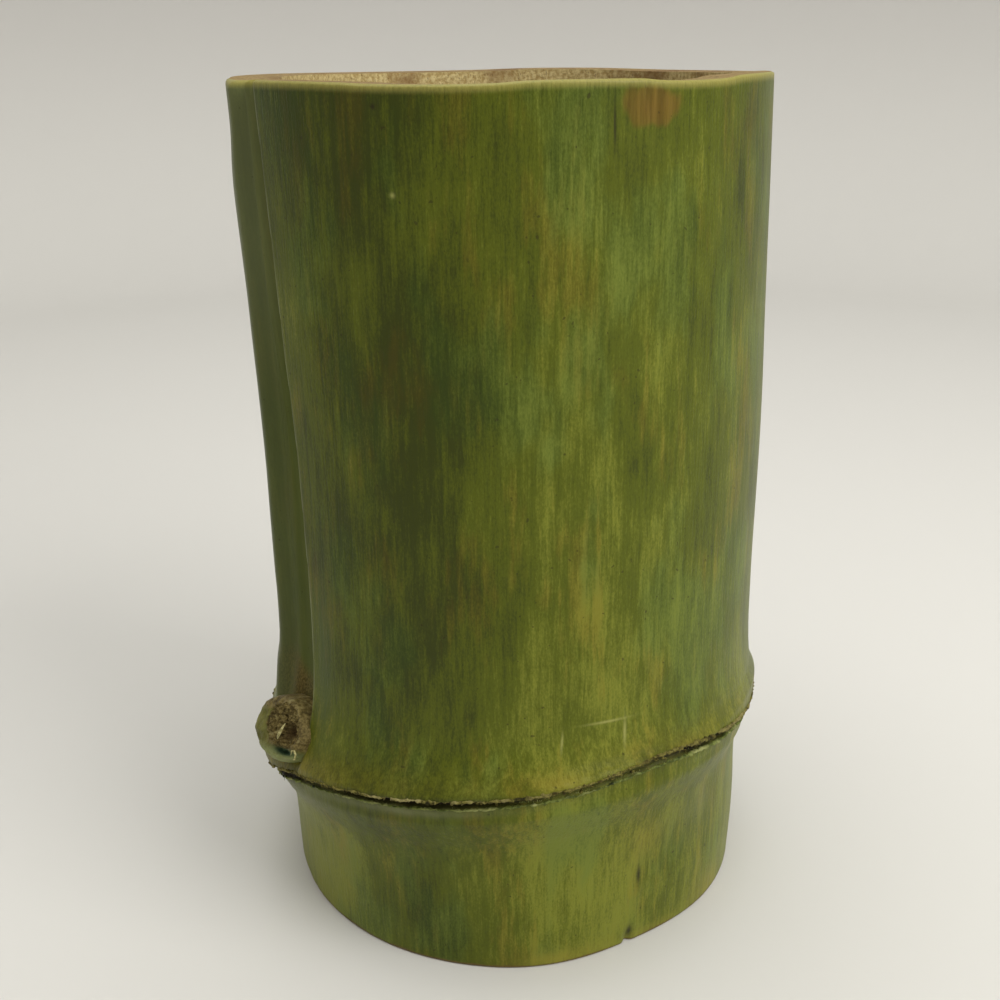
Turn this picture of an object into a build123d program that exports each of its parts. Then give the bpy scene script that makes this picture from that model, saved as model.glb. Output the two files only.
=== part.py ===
from build123d import *

import os
from math import asin, cos, degrees, exp, radians, sin, tan

# A flower vase sawn from one giant bamboo culm, in millimetres.
# The culm stands upright, open at the rim and hollow in the foot, and the septum that grows
# across its one node is the vase's floor. A drop-in glass liner stands on the septum and
# holds the water. The front is -Y and the stub of the cut branch is on the left, towards -X.

# Culm: the bow is how far its middle stands out towards +X
culm_height = 240.0
culm_radius = 72.8
wall_thickness = 12.3
rim_taper = 0.3
foot_taper = 1.4
bore_shift = 2.8
culm_bow = 3.5

# Node: the swollen ring that carries the septum, the sheath scar and the branch, and that
# stands highest to the right of the front
foot_height = 34.0
node_ring_height = 30.0
node_swell = 6.2
node_tilt = 7.8
node_high_angle = 312.0

# Septum across the node, with its top this far below the node ring's
septum_drop = 9.0
septum_thickness = 7.0
septum_dish = 2.0
septum_root_radius = 3.5

# Groove that the branch pressed into the wall above the node, with a rib that rises along
# its floor from nothing at the node to its full rise at the rim
groove_angle = 206.5
groove_rim_half_width = 13.0
groove_foot_half_width = 20.0
groove_depth = 5.5
groove_rib_rise = 2.5

# Sheath scar: two corky lips with a crevice between them, tilted as the node is, with a hump
# where the node is high, a droop at the right side and a dip on the far side of the branch
scar_hump = 2.5
scar_hump_turn = -11.0
scar_hump_spread_angle = 16.0
scar_droop = 5.0
scar_droop_turn = 40.0
scar_droop_spread_angle = 24.0
scar_dip = 6.5
scar_dip_turn = -6.5
scar_dip_spread_angle = 17.0
lip_radius = 1.7
lip_seat = 0.7
crevice_width = 0.3
lip_points = 24

# Branch: the collar that the culm grew round it, and the torn stub inside the collar, with
# its middle this far above the scar. It points a little to the front and rolls with the node
branch_turn = 8.5
branch_above_scar = 14.6
branch_proud = 6.3
branch_swing = 2.5
branch_slope = 22.0
branch_roll = 13.0
collar_half_width = 16.2
collar_half_height = 10.4
collar_root = 11.0
collar_rim_width = 0.9
stub_proud = 1.6
stub_socket = 5.0
stub_tear_angle = 12.0

# Glass liner, loose in the bore and a little below the rim
liner_clearance = 4.5
liner_recess = 15.0
liner_wall = 3.0
liner_base = 5.0
liner_heel_radius = 6.0

# How far a cut runs past what it cuts
overrun = 5.0

# Shares chosen by hand of the sizes that they follow
foot_waist_share = 0.55
neck_share = 0.12
mid_share = 0.38
upper_share = 0.67
scar_share = 0.642
channel_share = 0.5
septum_flat_share = 0.62
collar_mid_share = 0.38
collar_mid_width_share = 0.95
collar_end_width_share = 0.86
liner_lip_share = 0.4

# Shares of the swelling, the bow and the tilt that the culm has at each of its outlines
foot_cut_shares = (0, 1.0, 0)
foot_waist_shares = (0.05, 0.97, 0.3)
ring_foot_shares = (0.28, 0.75, 1.0)
ring_low_shares = (0.72, 0.25, 1.0)
ring_ridge_shares = (1.0, 0.3, 1.0)
ring_head_shares = (0.45, 0.57, 1.0)
neck_shares = (0.16, 0.86, 0.45)
mid_shares = (0, 1.0, 0)
upper_shares = (0, 0.75, 0)
rim_shares = (0, 0.29, 0)

# Sizes and places that follow
bore_radius = culm_radius - wall_thickness
rim_radius = culm_radius - rim_taper
foot_radius = culm_radius - foot_taper
ring_top = foot_height + node_ring_height
wall_height = culm_height - ring_top
septum_height = ring_top - septum_drop
branch_angle = groove_angle + branch_turn
branch_reach = culm_radius + branch_proud
lip_pitch = 2 * lip_radius + crevice_width
stub_half_width = collar_half_width * collar_end_width_share - collar_rim_width
stub_half_height = collar_half_height * collar_end_width_share - collar_rim_width
scar_height = foot_height + node_ring_height * scar_share
scar_rise = (culm_radius + node_swell) * tan(radians(node_tilt))
scar_dip_angle = groove_angle + scar_dip_turn
liner_radius = bore_radius - liner_clearance
liner_height = culm_height - septum_height - liner_recess

# The culm's outlines: height, radius without the node's swelling, and shares
foot_cut = (0, foot_radius, foot_cut_shares)
foot_waist = (foot_height * foot_waist_share, foot_radius, foot_waist_shares)
ring_foot = (foot_height, foot_radius, ring_foot_shares)
ring_low = (foot_height + node_ring_height / 3, culm_radius, ring_low_shares)
ring_ridge = (foot_height + node_ring_height * 2 / 3, culm_radius, ring_ridge_shares)
ring_head = (ring_top, culm_radius, ring_head_shares)
neck = (ring_top + wall_height * neck_share, culm_radius, neck_shares)
mid = (ring_top + wall_height * mid_share, culm_radius, mid_shares)
upper = (ring_top + wall_height * upper_share, culm_radius, upper_shares)
rim = (culm_height, rim_radius, rim_shares)


def section_plane(row):
    """Plane of one outline, centred on the culm and tilted up towards the node's high side."""
    height, _, (_, bow_share, tilt_share) = row
    tilt = radians(node_tilt * tilt_share)
    east, north = cos(radians(node_high_angle)), sin(radians(node_high_angle))
    return Plane(
        origin=(culm_bow * bow_share, 0, height),
        x_dir=(cos(tilt), 0, sin(tilt) * east),
        z_dir=(-sin(tilt) * east, -sin(tilt) * north, cos(tilt)),
    )


def section_radius(row):
    """Outside radius of the culm in one outline."""
    _, plain_radius, (swell_share, _, _) = row
    return plain_radius + node_swell * swell_share


def around(radius, angle):
    """Point of an outline at an angle in degrees."""
    return (radius * cos(radians(angle)), radius * sin(radians(angle)))


def nearness(angle, middle, spread):
    """How near an angle is to the middle of a hump or dip, from 1 there down to 0."""
    turn = (angle - middle + 180) % 360 - 180
    return exp(-((turn / spread) ** 2))


def scar_line(angle):
    """Height of the sheath scar's middle at an angle in degrees."""
    rise = scar_rise * cos(radians(angle - node_high_angle))
    hump = scar_hump * nearness(angle, node_high_angle + scar_hump_turn, scar_hump_spread_angle)
    droop = scar_droop * nearness(angle, node_high_angle + scar_droop_turn, scar_droop_spread_angle)
    dip = scar_dip * nearness(angle, scar_dip_angle, scar_dip_spread_angle)
    return scar_height + rise + hump - droop - dip


# Foot: the lower internode below the node, sawn square and open underneath
with BuildPart() as foot_wall:
    for row in (foot_cut, foot_waist, ring_foot):
        with BuildSketch(section_plane(row)):
            Circle(section_radius(row))
    loft()
    with BuildSketch(Plane.XY.offset(-overrun)):
        with Locations((bore_shift, 0)):
            Circle(bore_radius)
    extrude(amount=culm_height + 2 * overrun, mode=Mode.SUBTRACT)
foot_wall.part.label = "foot_wall"

# Node ring: the swollen band of wall, with its ridge above the sheath scar
with BuildPart() as node_ring:
    for row in (ring_foot, ring_low, ring_ridge, ring_head):
        with BuildSketch(section_plane(row)):
            Circle(section_radius(row))
    loft()
    with BuildSketch(Plane.XY.offset(-overrun)):
        with Locations((bore_shift, 0)):
            Circle(bore_radius)
    extrude(amount=culm_height + 2 * overrun, mode=Mode.SUBTRACT)
node_ring.part.label = "node_ring"

# Culm wall: the upper internode, with the branch's groove down its whole left side
with BuildPart() as culm_wall:
    for row in (ring_head, neck, mid, upper, rim):
        radius = section_radius(row)
        up_share = (row[0] - ring_top) / wall_height
        half_width = groove_foot_half_width * (1 - up_share) + groove_rim_half_width * up_share
        half_angle = degrees(asin(half_width / radius))
        near_lip = groove_angle + half_angle
        far_lip = groove_angle - half_angle
        third = (360 - 2 * half_angle) / 3
        floor_radius = radius - groove_depth
        with BuildSketch(section_plane(row)):
            with BuildLine():
                Spline(
                    around(radius, far_lip),
                    around(floor_radius, groove_angle - half_angle * channel_share),
                    around(floor_radius + groove_rib_rise * up_share, groove_angle),
                    around(floor_radius, groove_angle + half_angle * channel_share),
                    around(radius, near_lip),
                )
                for step in range(3):
                    start = near_lip + third * step
                    ThreePointArc(
                        around(radius, start),
                        around(radius, start + third / 2),
                        around(radius, start + third),
                    )
            make_face()
    loft()
    with BuildSketch(Plane.XY.offset(-overrun)):
        with Locations((bore_shift, 0)):
            Circle(bore_radius)
    extrude(amount=culm_height + 2 * overrun, mode=Mode.SUBTRACT)
culm_wall.part.label = "culm_wall"

# Septum: the woody disc that closes the culm at the node, dished and rounded into the wall
septum_flat = bore_radius * septum_flat_share
septum_edge = bore_radius - septum_root_radius
septum_under = septum_height - septum_thickness
root_bend = septum_root_radius * (1 - cos(radians(45)))
with BuildPart() as node_septum:
    with BuildSketch(Plane(origin=(bore_shift, 0, 0), x_dir=(1, 0, 0), z_dir=(0, -1, 0))):
        with BuildLine():
            Line((0, septum_under - septum_dish), (0, septum_height - septum_dish))
            TangentArc((0, septum_height - septum_dish), (septum_flat, septum_height), tangent=(1, 0))
            Line((septum_flat, septum_height), (septum_edge, septum_height))
            ThreePointArc(
                (septum_edge, septum_height),
                (bore_radius - root_bend, septum_height + root_bend),
                (bore_radius, septum_height + septum_root_radius),
            )
            Line(
                (bore_radius, septum_height + septum_root_radius),
                (bore_radius, septum_under - septum_root_radius),
            )
            ThreePointArc(
                (bore_radius, septum_under - septum_root_radius),
                (bore_radius - root_bend, septum_under - root_bend),
                (septum_edge, septum_under),
            )
            Line((septum_edge, septum_under), (septum_flat, septum_under))
            TangentArc((0, septum_under - septum_dish), (septum_flat, septum_under), tangent=(1, 0))
        make_face()
    revolve(axis=Axis((bore_shift, 0, 0), (0, 0, 1)))
node_septum.part.label = "node_septum"


def scar_point(angle, offset):
    """Point of a lip's path, seated in the node ring's own surface."""
    centre = Vector(bore_shift, 0, scar_line(angle) + offset)
    outward = Vector(cos(radians(angle)), sin(radians(angle)), 0)
    hits = node_ring.part.find_intersection_points(Axis(centre, outward))
    reach = max(outward.dot(point - centre) for point, _ in hits)
    return centre + outward * (reach - lip_seat)


def make_lip(offset):
    """One corky lip of the sheath scar, a rounded bead swept all round the node."""
    points = [scar_point(360 * step / lip_points, offset) for step in range(lip_points)]
    ring = Edge.make_spline(points, periodic=True)
    with BuildPart() as lip:
        for half in (ring.trim(0, 0.5), ring.trim(0.5, 1)):
            with BuildSketch(Plane(origin=half @ 0, z_dir=half % 0)):
                Circle(lip_radius)
            sweep(path=half)
    return lip.part


scar_upper_lip = make_lip(lip_pitch / 2)
scar_upper_lip.label = "scar_upper_lip"
scar_lower_lip = make_lip(-lip_pitch / 2)
scar_lower_lip.label = "scar_lower_lip"

# Plane of the branch's end, square to the branch, which leaves the culm on a slope
branch_heading = branch_angle + branch_swing
branch_out = Vector(1, 0, 0).rotate(Axis.Y, -branch_slope).rotate(Axis.Z, branch_heading)
branch_end = Plane(
    origin=(*around(branch_reach, branch_angle), scar_line(branch_angle) + branch_above_scar),
    x_dir=Vector(0, 1, 0).rotate(Axis.Z, branch_heading),
    z_dir=branch_out,
).rotated((0, 0, branch_roll))

# Branch collar: the swelling that the culm grew round the branch, with a socket in its end
with BuildPart() as branch_collar:
    for back, width_share in (
        (collar_root, 1.0),
        (collar_root * collar_mid_share, collar_mid_width_share),
        (0, collar_end_width_share),
    ):
        with BuildSketch(branch_end.offset(-back)):
            Ellipse(collar_half_width * width_share, collar_half_height * width_share)
    loft()
    with BuildSketch(branch_end.offset(overrun)):
        Ellipse(stub_half_width, stub_half_height)
    extrude(amount=-(overrun + stub_socket), mode=Mode.SUBTRACT)
    add(node_ring.part, mode=Mode.SUBTRACT)
    add(culm_wall.part, mode=Mode.SUBTRACT)
branch_collar.part.label = "branch_collar"

# Branch stub: what is left of the branch, torn off on the slant and seated in the collar
with BuildPart() as branch_stub:
    with BuildSketch(branch_end.offset(-stub_socket)):
        Ellipse(stub_half_width, stub_half_height)
    extrude(amount=stub_socket + stub_proud + stub_half_height)
    split(bisect_by=branch_end.offset(stub_proud).rotated((stub_tear_angle, 0, 0)), keep=Keep.BOTTOM)
    add(node_ring.part, mode=Mode.SUBTRACT)
    add(culm_wall.part, mode=Mode.SUBTRACT)
branch_stub.part.label = "branch_stub"

# Liner: a plain glass tumbler, which stands loose on the septum and lifts out
with BuildPart() as water_liner:
    with BuildSketch(Plane.XY.offset(septum_height)):
        with Locations((bore_shift, 0)):
            Circle(liner_radius)
    extrude(amount=liner_height)
    fillet(water_liner.edges().group_by(Axis.Z)[0], liner_heel_radius)
    with BuildSketch(Plane.XY.offset(septum_height + liner_base)):
        with Locations((bore_shift, 0)):
            Circle(liner_radius - liner_wall)
    extrude(amount=liner_height, mode=Mode.SUBTRACT)
    fillet(water_liner.edges().group_by(Axis.Z)[-1], liner_wall * liner_lip_share)
water_liner.part.label = "water_liner"

pieces = (
    foot_wall.part,
    node_ring.part,
    culm_wall.part,
    node_septum.part,
    scar_upper_lip,
    scar_lower_lip,
    branch_collar.part,
    branch_stub.part,
    water_liner.part,
)
os.makedirs("parts", exist_ok=True)
for piece in pieces:
    export_step(piece, f"parts/{piece.label}.step")
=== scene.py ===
from math import cos, pi, radians, sin, tan

import bmesh
import bpy
from mathutils import Matrix, Vector


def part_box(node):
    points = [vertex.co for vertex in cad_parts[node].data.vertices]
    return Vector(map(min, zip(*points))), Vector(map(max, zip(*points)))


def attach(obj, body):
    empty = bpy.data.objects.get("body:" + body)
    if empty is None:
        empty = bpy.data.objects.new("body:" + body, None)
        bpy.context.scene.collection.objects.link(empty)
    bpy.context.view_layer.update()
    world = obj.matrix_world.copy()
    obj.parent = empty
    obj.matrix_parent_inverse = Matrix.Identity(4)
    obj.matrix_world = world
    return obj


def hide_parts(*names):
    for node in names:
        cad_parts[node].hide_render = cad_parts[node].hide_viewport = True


# A flower vase sawn from one giant bamboo culm and stained green, dressed over its solid model.
# The front is -Y, and the stub of the cut branch is on the left, towards -X.
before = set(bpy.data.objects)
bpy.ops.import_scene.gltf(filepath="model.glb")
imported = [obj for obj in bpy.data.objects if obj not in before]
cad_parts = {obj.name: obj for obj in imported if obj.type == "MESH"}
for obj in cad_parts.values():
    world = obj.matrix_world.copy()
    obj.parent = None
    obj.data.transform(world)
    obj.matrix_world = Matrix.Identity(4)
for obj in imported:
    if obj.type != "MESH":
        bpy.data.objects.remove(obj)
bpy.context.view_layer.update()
scene = bpy.context.scene
scene.view_settings.view_transform = "Standard"

# Camera, a little above the rim and close in front, looking down at the vase.
# It is turned a hair about its own line of sight, as it was held by hand.
camera_place = (0, -0.34308, 0.24730)
camera_pitch = 20.88
camera_roll = -0.65
camera_lens = 43.05
camera_data = bpy.data.cameras.new("camera")
camera_data.lens = camera_lens
camera_data.clip_start = 0.01
camera = bpy.data.objects.new("camera", camera_data)
scene.collection.objects.link(camera)
camera.matrix_world = (
    Matrix.Translation(camera_place)
    @ Matrix.Rotation(radians(90 - camera_pitch), 4, "X")
    @ Matrix.Rotation(radians(camera_roll), 4, "Z")
)
scene.camera = camera

# Culm: one length of giant bamboo, sawn square at the rim and at the foot, with its node ring,
# its bow and the branch's groove grown into it. The maker left the skin on, stained it green,
# varnished it, and rubbed both sawn edges until the pale wood showed.
mm = 0.001
degree = pi / 180
node_tilt = radians(7.8)
node_radius = 79 * mm
culm_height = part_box("culm_wall")[1].z
bore_low, bore_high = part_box("node_septum")
culm_sizes = {
    "Culm height": culm_height,
    "Culm radius": 72.8 * mm,
    "Bore radius": (bore_high.x - bore_low.x) / 2,
    "Bore middle": (bore_high.x + bore_low.x) / 2,
    "Node swell": 6.2 * mm,
    "Node rise": tan(node_tilt) * node_radius,
    "High side": radians(312),
    "Scar height": 54.1 * mm,
    "Scar hump": 2.5 * mm,
    "Scar droop": 5 * mm,
    "Scar dip": 6.5 * mm,
    "Groove angle": radians(207),
    "Groove depth": 5.2 * mm,
    "Rib rise": 2.4 * mm,
    "Worn edge": 0.9 * mm,
}
# Height of the row of faces that follows the scar, before it is moved there
scar_row = 50 * mm
# Points closer than this are one
seam_gap = 0.004 * mm
# The culm's lesser forms, each by its turn and its spread in degrees
hump_place = (301, 16)
droop_place = (352, 24)
dip_place = (200, 17)
knob_place = (202, 11)
flank_place = (188, 17)
fade_place = (341, 15)
flat_place = (300, 20)
chip_place = (297.9, 0.9)
corner_place = (199, 7)
# How far they stand out or lie back
knob_rise = 2.6 * mm
knob_height = 51 * mm
fade_depth = 1.4 * mm
flat_depth = 2.4 * mm
chip_depth = 1.3 * mm
crumble_depth = 1.1 * mm
uneven_depth = 1.1 * mm
scar_wander = 2.2 * mm

# Curves of the culm, drawn as pairs of a place and what the culm has there

# Share of the node's swelling by level in mm, measured where the culm isn't tilted
swell_points = (
    (0, -0.23), (17, -0.15), (26, -0.11), (33.5, 0.03), (39.7, 0.38), (45, 0.77), (49, 0.94),
    (53.5, 1.0), (57.5, 0.83), (64, 0.46), (74, 0.22), (85, 0.13), (110, 0.03), (131, 0), (240, -0.05),
)
# How far the culm's middle stands out to the right by height, both in mm
bow_points = (
    (0, 3.4), (17, 3.5), (33, 3.0), (42, 2.2), (50, 1.2), (62, 1.0), (73, 2.0), (85, 2.9),
    (128, 3.5), (175, 2.7), (240, 1.0),
)
# Share of the node's tilt by height in mm
tilt_points = ((0, 0), (18, 0.3), (34, 1), (64, 1), (85, 0.5), (131, 0), (240, 0))
# Share of the scar's rise and fall that the rows of faces follow, by row height in mm
follow_points = ((0, 0), (20, 0.32), (40, 0.97), (46, 1), (58, 1), (66, 0.97), (95, 0.5), (130, 0), (240, 0))
# Height of each row of faces in mm, by its share of all the rows: close together at the scar
row_points = ((0, 0), (0.035, 1.2), (0.18, 38), (0.22, 43), (0.60, 57), (0.66, 66), (0.96, 237.5), (1, 240))
# How far the saw wandered below the full height, in mm, by turn in degrees
saw_points = (
    (0, 0.3), (35, 0.7), (75, 0.1), (105, 0.6), (145, 0.3), (176, 0.1), (200, 0.6), (215, 0.1), (240, 0.3),
    (258, 0.7), (272, 0.3), (282, 0), (296, 0.1), (309, 0.8), (321, 0.2), (331, 0), (360, 0.2),
)
# Groove: share of its depth across it, from its far lip to its near one, and the rib on its floor
channel_points = (
    (-1.15, 0), (-1, 0.06), (-0.86, 0.45), (-0.6, 1), (0.6, 1), (0.86, 0.8), (0.97, 0.12), (1.05, -0.06),
    (1.2, -0.06),
)
rib_points = ((-1.15, 0), (-0.4, 0), (-0.12, 0.8), (0.03, 1), (0.2, 0.75), (0.45, 0), (1.15, 0))
# Half of the groove's angle in degrees, share of its depth and share of its rib, by height in mm
groove_width_points = (
    (0, 14), (62, 15), (80, 14.2), (110, 13.6), (125, 13), (165, 11.5), (186, 10.8), (240, 9.3),
)
groove_depth_points = ((0, 0), (48, 0), (57, 0.8), (66, 1), (165, 1), (240, 0.9))
groove_rib_points = ((0, 0), (110, 0), (165, 0.5), (200, 1), (240, 1))
# How far the skin lies flat on the far side of the groove, by height, both in mm
flank_points = (
    (0, 0.2), (40, 0), (50, 3.6), (62, 2.2), (73, 1.9), (90, 1.2), (108, 0.2), (122, -0.1), (150, -0.3),
    (180, -0.4), (210, -0.8), (232, 0), (240, 0),
)
# Step across the scar: how far the skin flares over it and the depth of its crevice, both in mm
flare_points = (
    (-14, 0), (-8, -0.45), (-4, -1.2), (-2, -1.0), (0, 0.1), (1.2, 0.75), (3, 0.6), (7, 0.25), (12, 0),
)
crevice_points = ((-14, 0), (-2.7, 0), (-1.9, 1.4), (-0.3, 1.9), (0.5, 1.6), (0.9, 0), (12, 0))
# How strong that step is, as a share, by turn in degrees
flare_share_points = (
    (0, 0.5), (90, 0.6), (180, 0.5), (212, 0.5), (236, 1), (290, 1), (318, 0.6), (335, 0.9), (350, 0.6),
    (360, 0.5),
)
# How far the crevice gapes, as a share, by turn in degrees
gape_points = (
    (0, 0.5), (60, 0.7), (120, 0.5), (180, 0.8), (215, 0.9), (228, 0.6), (240, 1), (262, 1), (274, 0.45),
    (290, 0.3), (304, 0.5), (318, 0.95), (334, 0.8), (346, 0.6), (360, 0.5),
)


class Value:
    """A value in a node tree, so that a rule of growth is written as plain arithmetic."""

    def __init__(self, tree, socket):
        self.tree = tree
        self.socket = socket

    def __add__(self, other):
        return calculate(self.tree, "ADD", self, other)

    def __sub__(self, other):
        return calculate(self.tree, "SUBTRACT", self, other)

    def __rsub__(self, other):
        return calculate(self.tree, "SUBTRACT", other, self)

    def __mul__(self, other):
        return calculate(self.tree, "MULTIPLY", self, other)

    def __truediv__(self, other):
        return calculate(self.tree, "DIVIDE", self, other)

    def __neg__(self):
        return self * -1

    __radd__ = __add__
    __rmul__ = __mul__

    def near(self, spread):
        """1 where the value is nought, fallen to about a third at the spread on both sides."""
        share = self / spread
        return calculate(self.tree, "EXPONENT", -(share * share))

    def ease(self, start, end):
        """0 below the start and 1 above the end, with a smooth way between them."""
        settings = {"interpolation_type": "SMOOTHSTEP"}
        return result(self.tree, "ShaderNodeMapRange", {0: self, 1: start, 2: end}, **settings)

    def clamp(self):
        """The value held between 0 and 1."""
        return result(self.tree, "ShaderNodeClamp", {0: self})


def feed(tree, socket, value):
    """Links a value to a socket, or sets the socket where the value is a plain one."""
    if isinstance(value, Value):
        tree.links.new(value.socket, socket)
    else:
        socket.default_value = value


def node(tree, kind, inputs, **settings):
    """Adds a node, makes its settings, and feeds its inputs by name or by number."""
    made = tree.nodes.new(kind)
    for setting, choice in settings.items():
        setattr(made, setting, choice)
    for key, value in inputs.items():
        feed(tree, made.inputs[key], value)
    return made


def result(tree, kind, inputs, output=0, **settings):
    """Adds a node and returns one of its results, by name or by number."""
    return Value(tree, node(tree, kind, inputs, **settings).outputs[output])


def calculate(tree, operation, *values):
    """One step of arithmetic."""
    return result(tree, "ShaderNodeMath", dict(enumerate(values)), operation=operation)


def drawn(value, points, across=1.0, up=1.0):
    """Reads a drawn curve, with its places in units of across and its heights of up."""
    places, heights = zip(*points)
    low, high = min(heights), max(heights)
    share = (value / across - places[0]) / (places[-1] - places[0])
    made = node(value.tree, "ShaderNodeFloatCurve", {"Value": share})
    line = made.mapping.curves[0]
    shares = [((place - places[0]) / (places[-1] - places[0]), (height - low) / (high - low))
              for place, height in points]
    line.points[0].location, line.points[1].location = shares[0], shares[-1]
    for place, height in shares[1:-1]:
        line.points.new(place, height)
    for point in line.points:
        point.handle_type = "AUTO_CLAMPED"
    made.mapping.extend = "HORIZONTAL"
    made.mapping.update()
    return (Value(value.tree, made.outputs[0]) * (high - low) + low) * up


def vector(tree, x, y, z):
    """A vector from its three numbers."""
    return result(tree, "ShaderNodeCombineXYZ", {0: x, 1: y, 2: z})


def move(operation, first, second):
    """One step of vector arithmetic."""
    return result(first.tree, "ShaderNodeVectorMath", {0: first, 1: second}, operation=operation)


def noise(place, scale, detail=2.0, roughness=0.5):
    """Smooth random variation about one half, with so many lumps to the metre."""
    inputs = {"Vector": place, "Scale": scale, "Detail": detail, "Roughness": roughness}
    return result(place.tree, "ShaderNodeTexNoise", inputs)


def jitter(place, scale, detail, reach):
    """A step to a random side, by up to half of a reach given for each axis."""
    inputs = {"Vector": place, "Scale": scale, "Detail": detail}
    drift = result(place.tree, "ShaderNodeTexNoise", inputs, 1)
    return move("MULTIPLY", move("SUBTRACT", drift, (0.5, 0.5, 0.5)), reach)


def open_tree(name, inputs, outputs):
    """Starts a geometry tree and returns it with its named inputs."""
    tree = bpy.data.node_groups.new(name, "GeometryNodeTree")
    for label, start in inputs.items():
        socket = tree.interface.new_socket(label, in_out="INPUT", socket_type="NodeSocketFloat")
        socket.default_value = start
    for label, kind in outputs.items():
        tree.interface.new_socket(label, in_out="OUTPUT", socket_type="NodeSocket" + kind)
    entry = tree.nodes.new("NodeGroupInput")
    return tree, {label: Value(tree, entry.outputs[label]) for label in inputs}


def close_tree(tree, results):
    """Ends a tree with what it gives."""
    node(tree, "NodeGroupOutput", results)


def grow(name, tree, sizes):
    """Runs a tree on an empty mesh and keeps the plain mesh that it makes, as an object."""
    made = bpy.data.objects.new(name, bpy.data.meshes.new(name))
    scene.collection.objects.link(made)
    rule = made.modifiers.new("rule", "NODES")
    rule.node_group = tree
    for item in tree.interface.items_tree:
        if item.in_out == "INPUT" and item.name in sizes:
            rule[item.identifier] = sizes[item.name]
    depsgraph = bpy.context.evaluated_depsgraph_get()
    mesh = bpy.data.meshes.new_from_object(
        made.evaluated_get(depsgraph), preserve_all_data_layers=True, depsgraph=depsgraph
    )
    made.modifiers.clear()
    made.data = mesh
    mesh.name = name
    return made


def away(turn, middle):
    """Angle between a turn and the middle of something, from minus half a turn to half a turn."""
    return calculate(turn.tree, "WRAP", turn - middle, pi, -pi)


def around(turn, middle, spread):
    """1 at the middle of something, fallen to about a third at its spread, both in degrees."""
    return away(turn, middle * degree).near(spread * degree)


def heading(turn):
    """How far east and how far north a turn points: its cosine and its sine."""
    return calculate(turn.tree, "COSINE", turn), calculate(turn.tree, "SINE", turn)


surface, size = open_tree(
    "culm surface",
    {"Turn": 0.0, "Height": 0.0, **culm_sizes},
    {"Point": "Vector", "Scar": "Float", "Groove": "Float", "Rim": "Float"},
)
turn, row = size["Turn"], size["Height"]
east, north = heading(turn)
saw = drawn(turn, saw_points, degree, mm)
node_rise = size["Node rise"] * calculate(surface, "COSINE", turn - size["High side"])
scar_height = size["Scar height"] + node_rise
scar_height = scar_height + size["Scar hump"] * around(turn, *hump_place)
scar_height = scar_height - size["Scar droop"] * around(turn, *droop_place)
scar_height = scar_height - size["Scar dip"] * around(turn, *dip_place)
height = row + (scar_height - scar_row) * drawn(row, follow_points, mm)
height = height - saw * row.ease(200 * mm, culm_height)
level = height - node_rise * drawn(height, tilt_points, mm)
wander = noise(vector(surface, east, north, 0), 14.0, 3.0)
scar = height - scar_height + (wander - 0.5) * scar_wander
place = vector(surface, east * 72 * mm, north * 72 * mm, height)
across = away(turn, size["Groove angle"]) / (drawn(height, groove_width_points, mm) * degree)
channel = drawn(across, channel_points) * drawn(height, groove_depth_points, mm) * size["Groove depth"]
rib = drawn(across, rib_points) * drawn(height, groove_rib_points, mm) * size["Rib rise"]
crumble = (noise(place, 700.0, 3.0) - 0.5) * scar.near(3 * mm) * crumble_depth
flare = drawn(scar, flare_points, mm, mm) * drawn(turn, flare_share_points, degree)
crevice = drawn(scar, crevice_points, mm, mm) * drawn(turn, gape_points, degree)
knob = around(turn, *knob_place) * (height - knob_height).near(7 * mm) * knob_rise
flank = around(turn, *flank_place) * drawn(height, flank_points, mm, mm)
flare = flare - around(turn, *fade_place) * (scar - 2.5 * mm).near(4 * mm) * fade_depth
flat = around(turn, *flat_place) * (1 - height.ease(24 * mm, 50 * mm)) * flat_depth
uneven = (noise(place, 16.0, 2.0) - 0.5) * uneven_depth
chip = around(turn, *chip_place) * (1 - height.ease(0, 6 * mm)) * chip_depth
radius = size["Culm radius"] + size["Node swell"] * drawn(level, swell_points, mm)
radius = radius - channel + rib + flare - crevice + crumble + knob - flank - flat + uneven - chip
rim = size["Culm height"] - saw - height
# Both sawn edges are rubbed round, the rim more than the foot, and most beside the groove
corner = around(turn, *corner_place) * 2.0
worn = size["Worn edge"] * (0.5 + noise(place, 60.0, 3.0) + corner)
for gap in (rim, height * 1.6):
    past = (1 - gap / worn).clamp()
    radius = radius - worn * (1 - calculate(surface, "SQRT", 1 - past * past))
middle = drawn(height, bow_points, mm, mm)
close_tree(surface, {
    "Point": vector(surface, middle + radius * east, radius * north, height),
    "Scar": scar, "Groove": across, "Rim": rim,
})


def lay_grid(tree, columns, rows):
    """A flat grid of faces, with its shares across and up it."""
    inputs = {"Size X": 1.0, "Size Y": 1.0, "Vertices X": columns + 1, "Vertices Y": rows + 1}
    grid = result(tree, "GeometryNodeMeshGrid", inputs)
    spot = result(tree, "GeometryNodeInputPosition", {})
    parts = node(tree, "ShaderNodeSeparateXYZ", {0: spot})
    across, up = (Value(tree, parts.outputs[axis]) + 0.5 for axis in (0, 1))
    return grid, across, up


def keep(shape, name, value, kind="FLOAT", domain="POINT"):
    """Keeps a value on the mesh under a name, for its material to read."""
    inputs = {"Geometry": shape, "Name": name, "Value": value}
    return result(shape.tree, "GeometryNodeStoreNamedAttribute", inputs, data_type=kind, domain=domain)


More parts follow.
